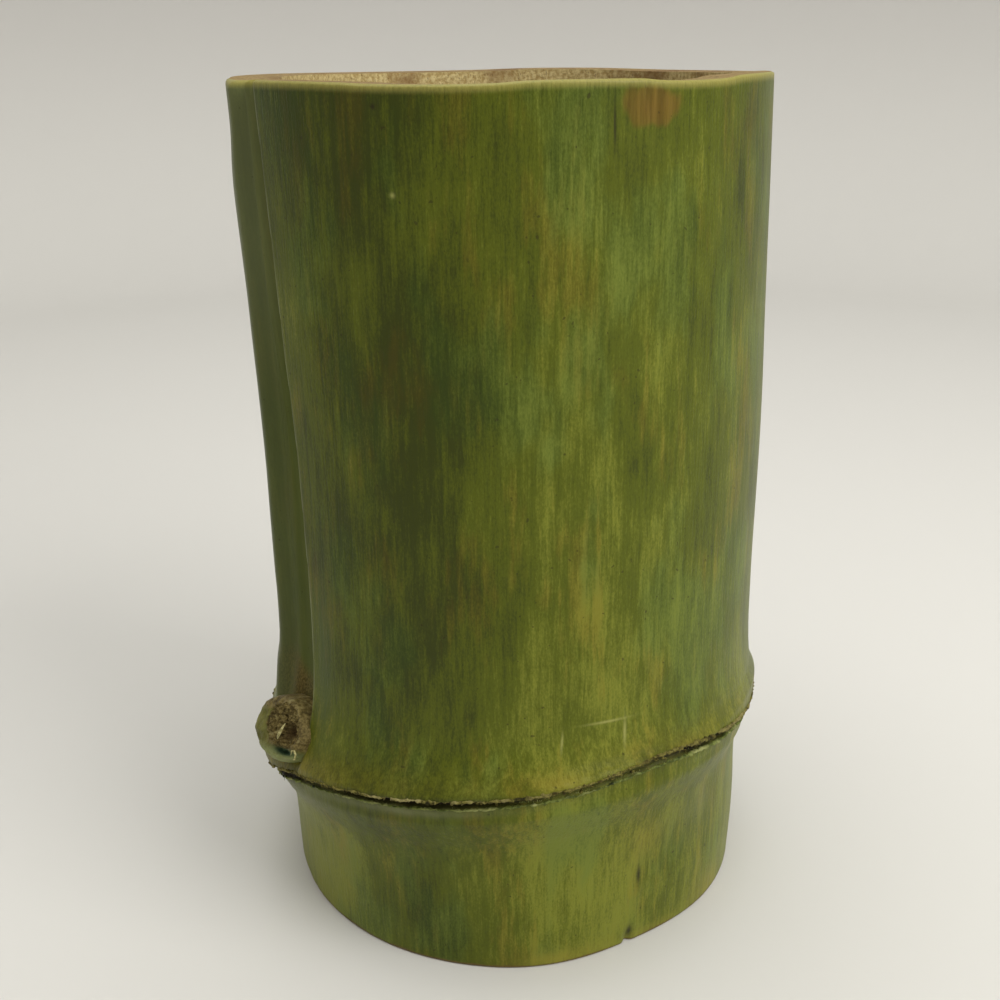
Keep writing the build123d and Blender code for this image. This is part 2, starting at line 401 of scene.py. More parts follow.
def on_culm(turn, height, sizes):
    """Point of the culm's skin at a turn and a row's height, with what lies near it."""
    tree = turn.tree
    made = node(tree, "GeometryNodeGroup", {}, node_tree=surface)
    for label, value in {**sizes, "Turn": turn, "Height": height}.items():
        if label in made.inputs:
            feed(tree, made.inputs[label], value)
    return {label: Value(tree, made.outputs[label]) for label in ("Point", "Scar", "Groove", "Rim")}


def set_material(shape, material):
    """Gives a shape its material."""
    return result(shape.tree, "GeometryNodeSetMaterial", {"Geometry": shape, "Material": material})


def place_faces(shape, point, material):
    """Moves a grid to its points and gives it its material."""
    moved = result(shape.tree, "GeometryNodeSetPosition", {"Geometry": shape, "Position": point})
    smooth = result(shape.tree, "GeometryNodeSetShadeSmooth", {"Geometry": moved})
    return set_material(smooth, material)


def join(shapes):
    """Joins shapes and closes their seams."""
    tree = shapes[0].tree
    joined = tree.nodes.new("GeometryNodeJoinGeometry")
    for shape in shapes:
        tree.links.new(shape.socket, joined.inputs[0])
    inputs = {"Geometry": Value(tree, joined.outputs[0]), "Distance": seam_gap}
    return result(tree, "GeometryNodeMergeByDistance", inputs)


def paint(red, green, blue):
    """A colour as a screen shows it, from 0 to 255, in the light that a shader works in."""
    shares = [part / 255 for part in (red, green, blue)]
    return (*(((share + 0.055) / 1.055) ** 2.4 for share in shares), 1.0)


def tint(share, first, second):
    """Goes from one colour to another by a share."""
    return result(share.tree, "ShaderNodeMix", {0: share, 6: first, 7: second}, 2, data_type="RGBA")


def read(tree, name):
    """A number kept on the mesh."""
    return result(tree, "ShaderNodeAttribute", {}, "Fac", attribute_name=name)


def stretch(place, along):
    """Place with its height drawn out, so that what varies there runs along the grain."""
    return move("MULTIPLY", place, (1, 1, along))


def new_finish(name):
    """Starts a material and returns its tree and the place on the piece."""
    material = bpy.data.materials.new(name)
    material.use_nodes = True
    material.node_tree.nodes.clear()
    tree = material.node_tree
    return material, tree, result(tree, "ShaderNodeTexCoord", {}, "Object")


def relief(height, depth, under=None):
    """Bump of a depth in metres from a height between 0 and 1, over another bump."""
    inputs = {"Strength": 1.0, "Distance": depth, "Height": height}
    if under:
        inputs["Normal"] = under
    return result(height.tree, "ShaderNodeBump", inputs)


def finish(tree, **sockets):
    """Ends a material with its shader, given the shader's sockets by name."""
    named = {key.replace("_", " "): value for key, value in sockets.items()}
    node(tree, "ShaderNodeOutputMaterial", {"Surface": result(tree, "ShaderNodeBsdfPrincipled", named)})


stained_culm, stain, at = new_finish("stained culm")
wall_map = result(stain, "ShaderNodeUVMap", {}, uv_map="wall")
wall_map = node(stain, "ShaderNodeSeparateXYZ", {0: wall_map})
skin_turn = Value(stain, wall_map.outputs[0]) * 2 * pi
skin_height = Value(stain, wall_map.outputs[1]) * culm_height
above_scar = read(stain, "scar")
below_rim = read(stain, "rim")
in_groove = read(stain, "groove")
# How light the skin is by turn in degrees, partly the stain's own tone and partly painted light and shade:
# darkest to the left of the front, lightest to the right, where the light falls
stain_and_light_points = (
    (0, 0.5), (40, 0.42), (90, 0.55), (140, 0.45), (185, 0.5), (208, 0.5), (222, 0.42), (233, 0.3),
    (243, 0.2), (252, 0.26), (260, 0.4), (270, 0.5), (282, 0.6), (295, 0.62), (310, 0.56), (325, 0.56),
    (340, 0.56), (360, 0.5),
)


def mark(turn, height, wide, tall):
    """How near the skin is to a mark on it, given its turn in degrees and the rest in mm."""
    across = away(skin_turn, turn * degree) * (culm_sizes["Culm radius"] / mm / wide)
    up = (skin_height / mm - height) / tall
    return calculate(stain, "EXPONENT", -(across * across + up * up))


def shifted(place, by):
    """Place moved aside, so that two finishes of one piece don't vary together."""
    return move("ADD", place, (by, by * 0.6, by * 0.3))


# Patches, blotches and fibres of the stain, and how light they leave it
patches = noise(stretch(at, 0.5), 38.0, 3.0, 0.55)
blotches = noise(stretch(at, 0.4), 105.0, 3.0, 0.6)
streaks = noise(stretch(at, 0.07), 560.0, 3.0, 0.6)
strands = noise(stretch(at, 0.09), 1500.0, 2.0, 0.6)
grain = noise(stretch(at, 0.5), 2300.0, 2.0, 0.6)
warmth = noise(shifted(stretch(at, 0.35), 0.37), 75.0, 4.0, 0.62)
coolness = noise(shifted(stretch(at, 0.45), 0.71), 44.0, 3.0, 0.58)
tone = (patches - 0.5) * 0.95 + (blotches - 0.5) * 0.8 + (streaks - 0.5) * 0.75 + (strands - 0.5) * 0.6
# The curve by turn adds painted light and shade to the stain's own tone
tone = tone + (grain - 0.5) * 0.6 + drawn(skin_turn, stain_and_light_points, degree)
# Painted light: the skin is lighter towards the foot, where the pale table throws light up onto it
tone = tone + (skin_height - 125 * mm) * -1.3
in_foot = 1 - skin_height.ease(30 * mm, 48 * mm)
tone = tone + in_foot * (around(skin_turn, 215, 32) * 0.42 - 0.03)
bark = tint(tone.ease(0.0, 0.5), paint(52, 59, 0), paint(79, 87, 8))
bark = tint(tone.ease(0.45, 1.0), bark, paint(117, 122, 38))
ochre = tint(tone.ease(0.1, 0.9), paint(74, 62, 2), paint(124, 113, 32))
bark = tint((warmth + (streaks - 0.5) * 0.5).ease(0.52, 0.68) * 0.45, bark, ochre)
deep = tint(tone.ease(0.1, 0.9), paint(44, 62, 6), paint(96, 112, 42))
bark = tint((coolness + (blotches - 0.5) * 0.3).ease(0.5, 0.64) * 0.55, bark, deep)
# Browned by resin above the scar, below the branch and in a few spots; below the scar a grey-green band of
# painted shade where its overhang shades the skin, and one grey spot lower down
resin_spots = ((309, 67.6, 7, 2.5), (278, 66.7, 8, 2), (313, 48.7, 1.6, 1.4), (303, 36, 8, 9))
ragged = (blotches - 0.5) * 2.2 + 1
resin = tint(tone.ease(0.1, 0.9), paint(84, 73, 10), paint(132, 122, 40))
rusty = (above_scar - 3.5 * mm).near(4.5 * mm) * (0.2 + around(skin_turn, 218, 18) * 0.55)
for spot in resin_spots:
    rusty = rusty + mark(*spot) * 0.45
bark = tint((rusty * ragged).clamp(), bark, resin)
# Painted shade: a grey-green band under the scar's overhang, on the left and in front
scar_shade_and_grey_spot = (above_scar + 8 * mm).near(6 * mm) * around(skin_turn, 205, 25) * 0.7
scar_shade_and_grey_spot = scar_shade_and_grey_spot + (above_scar + 4.2 * mm).near(1.6 * mm) * around(skin_turn, 250, 16) * 0.8
scar_shade_and_grey_spot = scar_shade_and_grey_spot + mark(318, 38, 8, 10) * 0.4
bark = tint((scar_shade_and_grey_spot * ragged).clamp(), bark, paint(104, 108, 68))
# The groove and the skin beyond it are painted greyer and lighter towards the top, as painted reflection of
# the pale room at that grazing angle and painted light that lifts the shade of the groove's floor; its floor
# by the branch is brown
above_branch = skin_height.ease(52 * mm, 60 * mm)
channel = (in_groove * 1.1).near(0.8) * above_branch
groove_reflection_tone = tint(skin_height.ease(145 * mm, 200 * mm), paint(76, 83, 46), paint(98, 103, 69))
# Painted reflection: the share of the grey tone, in the groove and on the far flank near the outline
flank_and_groove_reflection = 1 - in_groove.ease(0.8, 1.0) + around(skin_turn, 191, 14) * 1.6
bark = tint(flank_and_groove_reflection.clamp() * above_branch * 0.75, bark, groove_reflection_tone)
brown = tint(grain.ease(0.4, 0.6), paint(62, 48, 20), paint(112, 94, 52))
bark = tint(channel * (1 - skin_height.ease(73 * mm, 80 * mm)) * 0.8, bark, brown)
# Pale lines along its near lip are painted highlights on the lip's edges, and a cold band along the skin
# beside it is painted shade
# Painted highlights along the edges of the near lip
lip_highlight = (in_groove - 0.99).near(0.035) * skin_height.ease(55 * mm, 62 * mm) * 0.6
lip_highlight = lip_highlight * (1 - skin_height.ease(100 * mm, 150 * mm) * 0.6) * (streaks * 1.6).clamp()
lip_highlight = lip_highlight + (in_groove - 0.84).near(0.03) * skin_height.ease(90 * mm, 190 * mm) * 0.5
# Painted shade: a cold grey-green band along the skin beside the near lip
bark = tint((mark(225.5, 88, 3.6, 26) * 0.5).clamp(), bark, paint(64, 78, 46))
bark = tint(lip_highlight, bark, paint(152, 158, 112))
# A patch worn brown under the rim, pale scuffs at the foot, cuts, cracks and dots
worn = (mark(298, 234, 9.5, 5.5) + (blotches - 0.5) * 1.3).ease(0.3, 0.55) * mark(298, 234, 14, 8)
worn_tone = tint(streaks.ease(0.35, 0.65), paint(94, 68, 14), paint(118, 90, 32))
bark = tint(worn * 0.8, bark, worn_tone)
pale = mark(280, 2, 14, 3) * 0.5 + mark(326, 3, 9, 6) * 0.6 + mark(305, 1.5, 10, 2) * 0.4
bark = tint((pale * ragged).clamp(), bark, paint(138, 130, 46))
cuts = mark(289.5, 80.6, 5.2, 0.35) + mark(293.4, 77, 0.4, 3.4) + mark(280, 76.5, 0.3, 2.4)
bark = tint(((cuts + mark(249.9, 215.8, 0.6, 0.6)) * 0.8).clamp(), bark, paint(150, 150, 84))
cracks = mark(290, 230.3, 0.25, 4.5) + mark(300.4, 23.5, 0.7, 3.2) + mark(298.4, 4, 1.2, 2.2)
bark = tint(((cracks + mark(247.3, 234.7, 0.7, 0.7)) * 0.9).clamp(), bark, paint(36, 34, 8))
specks = noise(shifted(at, 0.9), 620.0, 1.0, 0.5).ease(0.74, 0.79)
bark = tint(specks * 0.6, bark, paint(44, 38, 8))
# Painted shade in the crevice of the scar and in a wedge below the branch, pale wood at both sawn edges
shade_wedge = around(skin_turn, 206, 9) * (above_scar + 2.8 * mm).near(3 * mm)
shaded_crevice = (above_scar + 0.9 * mm).near(1.55 * mm) * (0.35 + drawn(skin_turn, gape_points, degree) * 0.65)
# Painted shade: near-black brown in the scar's crevice and the wedge
bark = tint((shaded_crevice * 1.25 + shade_wedge * 0.9).clamp(), bark, paint(34, 28, 12))
worn_rim = (1 - below_rim.ease(0.2 * mm, 2.4 * mm)) * (0.35 + grain * 0.5 + strands * 0.6).clamp()
bark = tint(worn_rim.clamp(), bark, paint(146, 139, 72))
raw_base = 1 - (skin_height + (blotches - 0.5) * 1.6 * mm).ease(0.5 * mm, 1.3 * mm)
bark = tint(raw_base * 0.85, bark, paint(98, 78, 42))
bumps = relief(strands, 0.1 * mm)
bumps = relief(grain, 0.07 * mm, bumps)
dull = (0.4 + (strands - 0.5) * 0.3 + shaded_crevice * 0.4 + channel * 0.4).clamp()
sheen = 0.2 - channel.clamp() * 0.18
finish(stain, Base_Color=bark, Roughness=dull, IOR=1.5, Specular_IOR_Level=sheen, Normal=bumps)


def raw_finish(name, dark, light, stained):
    """Bare bamboo wood, speckled with the ends or the lengths of its dark fibres."""
    material, raw, at = new_finish(name)
    rays = noise(at, 900.0, 3.0, 0.6)
    stains = noise(at, 60.0, 3.0, 0.6)
    pores = noise(stretch(at, 0.4), 1700.0, 2.0, 0.6)
    wood = tint(rays.ease(0.35, 0.65), dark, light)
    wood = tint(stains.ease(0.5, 0.68) * 0.7, wood, stained)
    wood = tint(pores.ease(0.62, 0.72) * 0.7, wood, paint(92, 68, 38))
    bumps = relief(rays, 0.25 * mm)
    finish(raw, Base_Color=wood, Roughness=0.75, IOR=1.45, Specular_IOR_Level=0.25, Normal=bumps)
    return material


bore_wood = raw_finish("bore wood", paint(172, 148, 94), paint(212, 194, 140), paint(124, 90, 50))
sawn_wood = raw_finish("sawn wood", paint(116, 96, 58), paint(146, 124, 78), paint(104, 76, 42))

# Faces round the culm, up its skin, across its rim, down its bore and across its foot
culm_columns = 600
skin_rows = 130
rim_rows = 9
bore_rows = 14
foot_rows = 5
culm_tree, size = open_tree("culm", culm_sizes, {"Culm": "Geometry"})


def in_bore(turn, height, sizes):
    """Point of the culm's bore, which is a little uneven."""
    east, north = heading(turn)
    spot = vector(turn.tree, east * 60 * mm, north * 60 * mm, height * 0.3)
    reach = sizes["Bore radius"] + (noise(spot, 90.0, 2.0) - 0.5) * 0.5 * mm
    return vector(turn.tree, sizes["Bore middle"] + reach * east, reach * north, height)


def height_of(point):
    """Height of a point."""
    return result(point.tree, "ShaderNodeSeparateXYZ", {0: point}, 2)


def between(share, first, second):
    """Point between two others."""
    return result(share.tree, "ShaderNodeMix", {0: share, 4: first, 5: second}, 1, data_type="VECTOR")


skin, share_round, share_up = lay_grid(culm_tree, culm_columns, skin_rows)
row = drawn(share_up, row_points, 1, mm)
here = on_culm(share_round * 2 * pi, row, size)
share_high = height_of(here["Point"]) / size["Culm height"]
skin = keep(skin, "wall", vector(culm_tree, share_round, share_high, 0), "FLOAT2", "CORNER")
for label in ("Scar", "Groove", "Rim"):
    skin = keep(skin, label.lower(), here[label])
skin = place_faces(skin, here["Point"], stained_culm)

sawn, share_round, share_in = lay_grid(culm_tree, culm_columns, rim_rows)
turn = share_round * 2 * pi
edge = on_culm(turn, size["Culm height"], size)["Point"]
inner = in_bore(turn, height_of(edge) - 0.3 * mm, size)
sawn = place_faces(sawn, between(share_in, edge, inner), sawn_wood)

bore, share_round, share_down = lay_grid(culm_tree, culm_columns, bore_rows)
turn = share_round * 2 * pi
edge = on_culm(turn, size["Culm height"], size)["Point"]
top = height_of(edge) - 0.3 * mm
bore = place_faces(bore, in_bore(turn, top * (1 - share_down), size), bore_wood)

foot, share_round, share_out = lay_grid(culm_tree, culm_columns, foot_rows)
turn = share_round * 2 * pi
edge = on_culm(turn, 0.0, size)["Point"]
inner = in_bore(turn, 0.0, size)
foot = place_faces(foot, between(share_out, inner, edge), sawn_wood)

close_tree(culm_tree, {"Culm": join((skin, sawn, bore, foot))})
culm = grow("culm", culm_tree, culm_sizes)
culm.data.set_sharp_from_angle(angle=radians(60))
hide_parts("culm_wall", "node_ring", "foot_wall")
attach(culm, "vase")

# Sheath scar: the two ragged edges of cork and skin that the dropped leaf sheath left all round
# the node. The upper one is cork, dark with bare pale stretches, the lower one green skin, and
# the crevice between them holds crumbs of cork, with torn fibre ends hanging below.


def turn_of(place):
    """Turn of a place about the culm, from nought to one full turn."""
    tree = place.tree
    parts = node(tree, "ShaderNodeSeparateXYZ", {0: place})
    turn = calculate(tree, "ARCTAN2", Value(tree, parts.outputs[1]), Value(tree, parts.outputs[0]))
    return calculate(tree, "WRAP", turn, 2 * pi, 0.0)


# Where the upper lip is left as bare pale cork, as a share, by turn in degrees
bare_points = (
    (0, 0.3), (60, 0.7), (120, 0.3), (180, 0.3), (205, 0.15), (214, 0.5), (222, 0.2), (232, 0.15),
    (241, 0.3), (247, 0.95), (260, 1), (265, 0.3), (274, 0.5), (280, 0.1), (306, 0.15), (322, 0.45),
    (334, 0.8), (345, 0.3), (360, 0.3),
)
cork, corky, at = new_finish("scar cork")
grit = noise(at, 900.0, 4.0, 0.65)
flecks = noise(at, 260.0, 3.0, 0.6)
bark = tint(grit.ease(0.35, 0.62), paint(56, 50, 18), paint(114, 108, 52))
bare = drawn(turn_of(at), bare_points, degree)
bark = tint((bare * flecks.ease(0.4, 0.6)).clamp(), bark, paint(144, 136, 90))
bark = tint(1 - flecks.ease(0.32, 0.46), bark, paint(36, 35, 16))
bumps = relief(grit, 0.3 * mm)
finish(corky, Base_Color=bark, Roughness=0.85, IOR=1.4, Specular_IOR_Level=0.2, Normal=bumps)

lip_skin, skinned, at = new_finish("scar lip skin")
grit = noise(at, 700.0, 3.0, 0.6)
flecks = noise(at, 180.0, 3.0, 0.6)
bark = tint(grit.ease(0.35, 0.65), paint(66, 76, 30), paint(112, 122, 58))
bark = tint(flecks.ease(0.5, 0.66), bark, paint(146, 150, 92))
bark = tint(1 - flecks.ease(0.3, 0.44), bark, paint(40, 48, 22))
bumps = relief(grit, 0.2 * mm)
finish(skinned, Base_Color=bark, Roughness=0.6, IOR=1.45, Specular_IOR_Level=0.2, Normal=bumps)

# A lip's offset above the scar, its half thickness, how far it strays, and its own draw
lip_sizes = {"Offset": 1.0 * mm, "Thickness": 0.7 * mm, "Raggedness": 0.8 * mm, "Seed": 0.0}
lip_columns = 1300
lip_rows = 12
# How thick the lips are left, as a share, by turn in degrees
lip_points = (
    (0, 0.6), (60, 0.95), (120, 0.7), (165, 0.4), (200, 0.35), (212, 0.6), (230, 0.45), (242, 0.65),
    (262, 0.65), (275, 0.75), (292, 0.55), (306, 0.7), (318, 1), (334, 0.95), (346, 0.45), (360, 0.6),
)


def lip_tree(name, material):
    """A ragged bead that runs round the node at an offset above the scar."""
    tree, size = open_tree(name, {**lip_sizes, **culm_sizes}, {"Lip": "Geometry"})
    bead, share_round, share_about = lay_grid(tree, lip_columns, lip_rows)
    turn = share_round * 2 * pi
    lap = share_about * 2 * pi
    east, north = heading(turn)
    ring = vector(tree, east, north, size["Seed"])
    wander = (noise(ring, 18.0, 4.0, 0.65) - 0.5) * 2 * size["Raggedness"]
    spine = on_culm(turn, scar_row + size["Offset"] + wander, size)["Point"]
    thick = size["Thickness"] * drawn(turn, lip_points, degree)
    thick = thick * noise(ring, 26.0, 4.0, 0.7).ease(0.3, 0.62) * 1.5 + 0.12 * mm
    out = thick * calculate(tree, "COSINE", lap)
    up = thick * 0.8 * calculate(tree, "SINE", lap)
    point = move("ADD", spine, vector(tree, east * out, north * out, up))
    shift = jitter(point, 800.0, 3.0, (1.0 * mm, 1.0 * mm, 1.3 * mm))
    bead = place_faces(bead, move("ADD", point, shift), material)
    close_tree(tree, {"Lip": join((bead,))})
    return tree


def dress(piece, slot, *nodes):
    """Fixes a piece of the vase and hides the solids that it stands for; its slot, the name of its finish,
    is not used.
    """
    if nodes:
        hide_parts(*nodes)
    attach(piece, "vase")


upper_lip_sizes = {"Offset": 0.9 * mm, "Thickness": 0.5 * mm}
upper_lip = grow("scar_upper_lip_cork", lip_tree("upper lip", cork), upper_lip_sizes)
dress(upper_lip, "corky_scar", "scar_upper_lip")
lower_lip_sizes = {"Offset": -2.6 * mm, "Thickness": 0.4 * mm, "Seed": 4.0}
lower_lip = grow("scar_lower_lip_skin", lip_tree("lower lip", lip_skin), lower_lip_sizes)
dress(lower_lip, "corky_scar", "scar_lower_lip")


def chance(tree, low, high, seed):
    """A number drawn by lot for each point."""
    return result(tree, "FunctionNodeRandomValue", {2: low, 3: high, 8: seed}, 1, data_type="FLOAT")


def scatter(tree, count, point, wanted, shape, spin, scale):
    """Stands a copy of a shape on each wanted point, and makes the copies real."""
    points = result(tree, "GeometryNodePoints", {"Count": count, "Position": point})
    copies = result(tree, "GeometryNodeInstanceOnPoints", {
        "Points": points, "Selection": wanted, "Instance": shape, "Rotation": spin, "Scale": scale,
    })
    return result(tree, "GeometryNodeRealizeInstances", {"Geometry": copies})


# Crumbs of cork and fibre ends, scattered by lot where the crevice gapes
crumb_count = 1500
fibre_count = 1400
fibre_width = 1.4 * mm
crumb_tree, size = open_tree("crumbs", {"Crumb": 0.45 * mm, **culm_sizes}, {"Crumbs": "Geometry"})
turn = chance(crumb_tree, 0.0, 2 * pi, 3)
spot = on_culm(turn, scar_row + chance(crumb_tree, -1.9 * mm, 1.2 * mm, 5), size)["Point"]
lot = chance(crumb_tree, 0.0, 1.0, 7)
wanted = calculate(crumb_tree, "LESS_THAN", lot, drawn(turn, gape_points, degree))
ball = result(crumb_tree, "GeometryNodeMeshIcoSphere", {"Radius": 1.0, "Subdivisions": 2})
spin = vector(crumb_tree, *(chance(crumb_tree, 0.0, 6.0, seed) for seed in (11, 12, 13)))
bulk = chance(crumb_tree, 0.4, 1.5, 17) * size["Crumb"]
girth = vector(crumb_tree, bulk, *(bulk * chance(crumb_tree, 0.5, 1.0, seed) for seed in (19, 23)))
crumbs = scatter(crumb_tree, crumb_count, spot, wanted, ball, spin, girth)
here = result(crumb_tree, "GeometryNodeInputPosition", {})
shift = jitter(here, 1500.0, 2.0, (0.5 * mm, 0.5 * mm, 0.5 * mm))
crumbs = result(crumb_tree, "GeometryNodeSetPosition", {"Geometry": crumbs, "Offset": shift})
close_tree(crumb_tree, {"Crumbs": set_material(crumbs, cork)})
crumbs = grow("scar_crumbs", crumb_tree, culm_sizes)
dress(crumbs, "corky_scar")

fibre_tree, size = open_tree("fibre ends", {"Fibre": 1.5 * mm, **culm_sizes}, {"Fibres": "Geometry"})
turn = chance(fibre_tree, 0.0, 2 * pi, 31)
row = scar_row - 1.9 * mm + chance(fibre_tree, -0.4 * mm, 0.4 * mm, 37)
spot = on_culm(turn, row, size)["Point"]
lot = chance(fibre_tree, 0.0, 1.0, 41)
wanted = calculate(fibre_tree, "GREATER_THAN", lot, drawn(turn, gape_points, degree) * 0.95)
cone = {"Vertices": 5, "Radius Top": 0.02, "Radius Bottom": 0.09, "Depth": 1.0}
spike = result(fibre_tree, "GeometryNodeMeshCone", cone)
lean = vector(fibre_tree, pi + chance(fibre_tree, -0.2, 0.2, 43), chance(fibre_tree, -0.2, 0.2, 47), 0)
girth = vector(fibre_tree, fibre_width, fibre_width, size["Fibre"] * chance(fibre_tree, 0.5, 1.3, 53))
fibres = scatter(fibre_tree, fibre_count, spot, wanted, spike, lean, girth)
close_tree(fibre_tree, {"Fibres": set_material(fibres, lip_skin)})
fibres = grow("scar_fibre_ends", fibre_tree, culm_sizes)
dress(fibres, "corky_scar")

# Branch: the collar of skin that the culm grew round its side branch, and in it the stub that
# was left when the branch was torn off, with a rough hollow face of broken fibres. One pale
# splinter still curls over that face, and a finer one lies as a loop below it.
branch_angle = radians(215)
branch_heading = radians(217.5)
branch_slope = radians(22)
branch_roll = radians(13)
branch_reach = 79.1 * mm
branch_height = 63.56 * mm
branch_half_width = 13.9 * mm
branch_half_height = 8.9 * mm
branch_slide = 2.9 * mm
branch_lean = radians(6)
stub_half_width = 9.0 * mm
stub_half_height = 6.9 * mm
lump_depth = 5.0 * mm
splinter_depth = 2.6 * mm
hollow_depth = 2.2 * mm
cleft_depth = 2.4 * mm
splinter_thin = 0.28 * mm
# Faces round the collar and the stub, and along them
branch_columns = 200
branch_rows = 120
branch_frame = (
    Matrix.Translation((branch_reach * cos(branch_angle), branch_reach * sin(branch_angle), branch_height))
    @ Matrix.Rotation(branch_heading, 4, "Z")
    @ Matrix.Rotation(pi / 2 - branch_slope, 4, "Y")
    @ Matrix.Rotation(pi / 2 + branch_roll, 4, "Z")
)
# The collar from its hidden root over the shoulder and back into the socket, by the share of
# the way: share of the half width, distance out from the end in mm, and share of the slide that
# takes the socket off the middle, up and to the front
collar_spread_points = (
    (0, 0), (0.05, 1.12), (0.25, 1.1), (0.42, 1.06), (0.55, 1.0), (0.66, 0.86), (0.76, 0.7),
    (0.84, 0.64), (0.92, 0.6), (1, 0),
)
collar_out_points = (
    (0, -14), (0.05, -14), (0.25, -8), (0.42, -4), (0.55, -1.2), (0.66, 0.1), (0.76, 0.3), (0.84, -0.2),
    (0.92, -4), (1, -4),
)
collar_slide_points = ((0, 0), (0.42, 0), (0.66, 0.45), (0.8, 1), (1, 1))
# The same for the stub, from its hidden back to the middle of its torn face
stub_spread_points = ((0, 0), (0.05, 0.98), (0.15, 1), (0.22, 0.95), (1, 0))
stub_out_points = ((0, -5), (0.05, -5), (0.15, -0.8), (0.22, 0.1), (0.4, 0.4), (1, 0.4))
stub_slide_points = ((0, 0.9), (0.1, 1), (1, 1))


def branch_tree(name, material, spread_points, out_points, slide_points, rough_from, roughness):
    """A closed shape round the branch's own axis, with its outline and its face made uneven."""
    sizes = {"Half width": branch_half_width, "Half height": branch_half_height, "Slide": branch_slide}
    tree, size = open_tree(name, sizes, {"Shape": "Geometry"})
    shape, share_round, share_along = lay_grid(tree, branch_columns, branch_rows)
    east, north = heading(share_round * 2 * pi)
    spread = drawn(share_along, spread_points)
    slide = size["Slide"] * drawn(share_along, slide_points)
    lumpy = 0.88 + 0.24 * noise(vector(tree, east, north, size["Half width"] * 100), 2.2, 3.0)
    narrowed = 1 - 0.17 * east.ease(-0.1, 0.9)
    across = size["Half width"] * spread * lumpy * east * narrowed + slide
    up = size["Half height"] * (spread * lumpy * north + 0.1) + slide * 0.45
    out = drawn(share_along, out_points, 1, mm) - up * tan(branch_lean)
    spot = vector(tree, across, up, out)
    front = share_along.ease(rough_from, rough_from + 0.15)
    lumps = (noise(spot, 330.0, 4.0, 0.65) - 0.5) * lump_depth
    grained = stretch(vector(tree, up, out, across), 0.35)
    splinters = (noise(grained, 1100.0, 3.0, 0.6) - 0.5) * splinter_depth
    hollow = (across - 6.6 * mm).near(3.4 * mm) * (up - 0.8 * mm).near(3.0 * mm) * hollow_depth
    cleft = (across - 4.5 * mm).near(3.8 * mm) * (up + 4.9 * mm).near(1.0 * mm) * cleft_depth
    out = out + (lumps + splinters) * front * roughness - (hollow + cleft) * share_along.ease(0.1, 0.3)
    for label, value in (("hollow", hollow), ("cleft", cleft), ("across", across), ("up", up)):
        shape = keep(shape, label, value / mm)
    shape = place_faces(shape, vector(tree, across, up, out), material)
    close_tree(tree, {"Shape": join((shape,))})
    return tree


def tear(place):
    """Colour of torn wood, with painted shade darkening its hollow and its cleft, and the grit that it is
    broken into.
    """
    grit = noise(place, 1000.0, 4.0, 0.65)
    flakes = noise(place, 330.0, 3.0, 0.6)
    wood = tint(grit.ease(0.36, 0.64), paint(80, 68, 32), paint(128, 114, 68))
    wood = tint(flakes.ease(0.56, 0.68) * 0.7, wood, paint(152, 142, 94))
    wood = tint((1 - flakes.ease(0.34, 0.46)) * 0.7, wood, paint(58, 48, 22))
    # Painted shade: darker brown in the hollow of the torn face
    wood = tint((read(place.tree, "hollow") * 0.45).clamp(), wood, paint(60, 44, 18))
    # Painted shade: dark teal in the cleft below the torn face
    return tint((read(place.tree, "cleft") * 0.6).clamp(), wood, paint(42, 64, 40)), grit


torn, tearing, at = new_finish("torn branch")
wood, grit = tear(at)
bumps = relief(grit, 0.4 * mm)
finish(tearing, Base_Color=wood, Roughness=0.8, IOR=1.45, Specular_IOR_Level=0.2, Normal=bumps)

# Smooth stained skin on the collar's far and lower side, torn wood over its top and near side
collar_skin, collared, at = new_finish("stained branch")
wood, grit = tear(at)
patches = noise(at, 120.0, 3.0, 0.6)
bark = tint(patches.ease(0.35, 0.65), paint(88, 88, 34), paint(124, 122, 62))
bark = tint(1 - read(collared, "up").ease(-6.0, -3.5), bark, paint(124, 130, 78))
bark = tint(grit.ease(0.5, 0.7) * 0.5, bark, paint(82, 70, 30))
broken = read(collared, "across").ease(-5.0, -1.0) * read(collared, "up").ease(-5.0, -3.0)
broken = calculate(collared, "MAXIMUM", broken, read(collared, "up").ease(4.5, 6.5))
bark = tint(broken, bark, wood)
# Painted shade: dark teal in the cleft below the torn face
bark = tint((read(collared, "cleft") * 0.8).clamp(), bark, paint(42, 64, 40))
bumps = relief(grit, 0.3 * mm)
finish(collared, Base_Color=bark, Roughness=0.55, IOR=1.5, Specular_IOR_Level=0.2, Normal=bumps)

collar_curves = (collar_spread_points, collar_out_points, collar_slide_points)
collar_shape = branch_tree("collar", collar_skin, *collar_curves, rough_from=0.5, roughness=0.3)
collar = grow("branch_collar_skin", collar_shape, {})
collar.data.transform(branch_frame)
dress(collar, "stained_branch", "branch_collar")
stub_curves = (stub_spread_points, stub_out_points, stub_slide_points)
stub_sizes = {"Half width": stub_half_width, "Half height": stub_half_height}
stub_shape = branch_tree("stub", torn, *stub_curves, rough_from=0.1, roughness=1.0)
stub = grow("branch_stub_torn", stub_shape, stub_sizes)
stub.data.transform(branch_frame)
dress(stub, "torn_branch", "branch_stub")

splinter_wood, splintered, at = new_finish("pale splinter")
grit = noise(at, 1200.0, 3.0, 0.6)
wood = tint(grit.ease(0.35, 0.65), paint(128, 120, 72), paint(184, 178, 124))
finish(splintered, Base_Color=wood, Roughness=0.7, IOR=1.45, Specular_IOR_Level=0.3)


